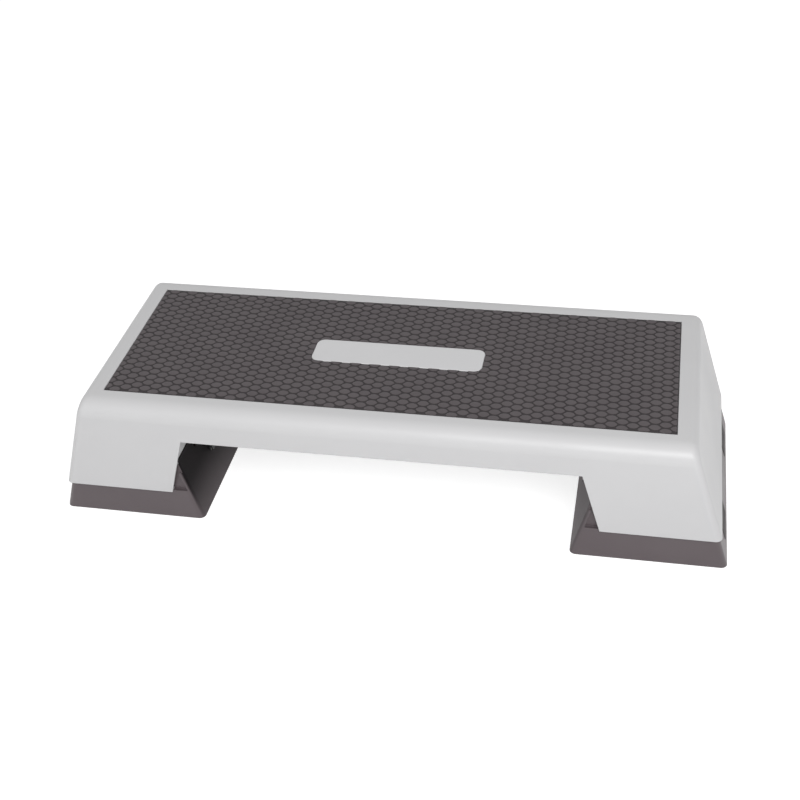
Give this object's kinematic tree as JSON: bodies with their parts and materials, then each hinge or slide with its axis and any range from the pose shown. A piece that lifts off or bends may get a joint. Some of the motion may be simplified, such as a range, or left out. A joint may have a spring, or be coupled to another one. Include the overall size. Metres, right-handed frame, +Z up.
{
  "type": "aerobic step platform",
  "caption": "Low step platform: ribbed moulded deck with a patterned tread mat and a blank middle plate, on feet that swing out to raise it.",
  "frame": {"origin": "on the floor under the middle of the deck", "axes": "+X along the deck's length, +Y to the back, +Z up"},
  "size_m": [0.9824, 0.356, 0.2035],
  "materials": {
    "deck_plastic": "fine moulded grain, satin",
    "mat_rubber": "matte textured rubber",
    "plate_plastic": "smooth satin",
    "rod_steel": "drawn steel",
    "keeper_plastic": "moulded",
    "screw_steel": "zinc plated",
    "foot_plastic": "fine moulded grain, satin",
    "bush_nylon": "moulded nylon, dark",
    "pad_rubber": "matte rubber",
    "hook_plastic": "moulded"
  },
  "bodies": {
    "deck": {"deck_shell": "deck_plastic", "tread_mat": "mat_rubber", "centre_plate": "plate_plastic", "left_axle": "rod_steel", "right_axle": "rod_steel", "left_axle_keepers": "keeper_plastic", "right_axle_keepers": "keeper_plastic", "keeper_screws": "screw_steel"},
    "foot_left": {"left_foot": "foot_plastic", "left_axle_bushes": "bush_nylon", "left_floor_pads": "pad_rubber", "left_end_pads": "pad_rubber", "left_hooks": "hook_plastic", "left_hook_screws": "screw_steel"},
    "foot_right": {"right_foot": "foot_plastic", "right_axle_bushes": "bush_nylon", "right_floor_pads": "pad_rubber", "right_end_pads": "pad_rubber", "right_hooks": "hook_plastic", "right_hook_screws": "screw_steel"}
  },
  "joints": [
    {"name": "left_foot_swing", "type": "hinge", "parent": "deck", "child": "foot_left", "pos_m": [-0.306, 0, 0.1015], "axis": [0, -1, 0], "range_deg": [0, 107]},
    {"name": "right_foot_swing", "type": "hinge", "parent": "deck", "child": "foot_right", "pos_m": [0.306, 0, 0.1015], "axis": [0, 1, 0], "range_deg": [0, 107]}
  ]
}
